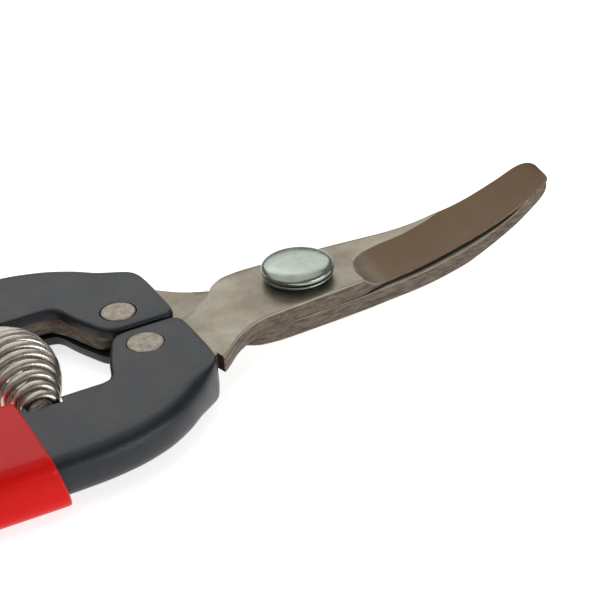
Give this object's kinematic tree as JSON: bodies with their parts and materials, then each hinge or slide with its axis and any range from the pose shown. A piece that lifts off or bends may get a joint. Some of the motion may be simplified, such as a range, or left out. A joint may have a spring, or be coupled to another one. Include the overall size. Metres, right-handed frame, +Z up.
{
  "type": "bypass pruner",
  "caption": "Hand pruner with two curved bypass blades on a riveted pivot bolt, bowed moulded handles with soft sleeves, a barrel spring between them and a wire catch at the ends",
  "frame": {"origin": "bottom centre of the bounding box, shut and lying flat with the bolt's head upwards, pivot axis vertical", "axes": "+X towards the blade tips, +Y towards the lower half's handle, +Z up, the way the blades curl"},
  "size_m": [0.1778, 0.0534, 0.0144],
  "materials": {
    "plate_steel": "satin tumbled steel plate, hollow-ground bevels",
    "black_moulding": "satin black moulded plastic",
    "red_sleeve": "glossy soft red vinyl",
    "rivet_steel": "plain steel rivet",
    "zinc": "bright zinc plate",
    "spring_steel": "drawn spring wire"
  },
  "bodies": {
    "lower_half": {"lower_blade": "plate_steel", "lower_handle": "black_moulding", "lower_sleeve": "red_sleeve", "lower_front_rivet": "rivet_steel", "lower_front_rivet_washer": "rivet_steel", "lower_rear_rivet": "rivet_steel", "lower_rear_rivet_washer": "rivet_steel", "pivot_bolt": "zinc", "pivot_flat_washer": "zinc", "pivot_spring_washer": "zinc", "pivot_tail_washer": "zinc", "spring": "spring_steel", "catch_eyelet": "rivet_steel"},
    "upper_half": {"upper_blade": "plate_steel", "upper_handle": "black_moulding", "upper_sleeve": "red_sleeve", "upper_front_rivet": "rivet_steel", "upper_front_rivet_washer": "rivet_steel", "upper_rear_rivet": "rivet_steel", "upper_rear_rivet_washer": "rivet_steel"},
    "catch": {"catch_wire": "spring_steel"}
  },
  "joints": [
    {"name": "blade_pivot", "type": "hinge", "parent": "lower_half", "child": "upper_half", "pos_m": [0.04632, 0, 0.00486], "axis": [0, 0, 1], "range_deg": [0, 28], "deforming": ["spring"]},
    {"name": "catch_swing", "type": "hinge", "parent": "lower_half", "child": "catch", "pos_m": [-0.07118, 0.0056, 0.00486], "axis": [0, 0, 1], "range_deg": [-45, 90]}
  ]
}
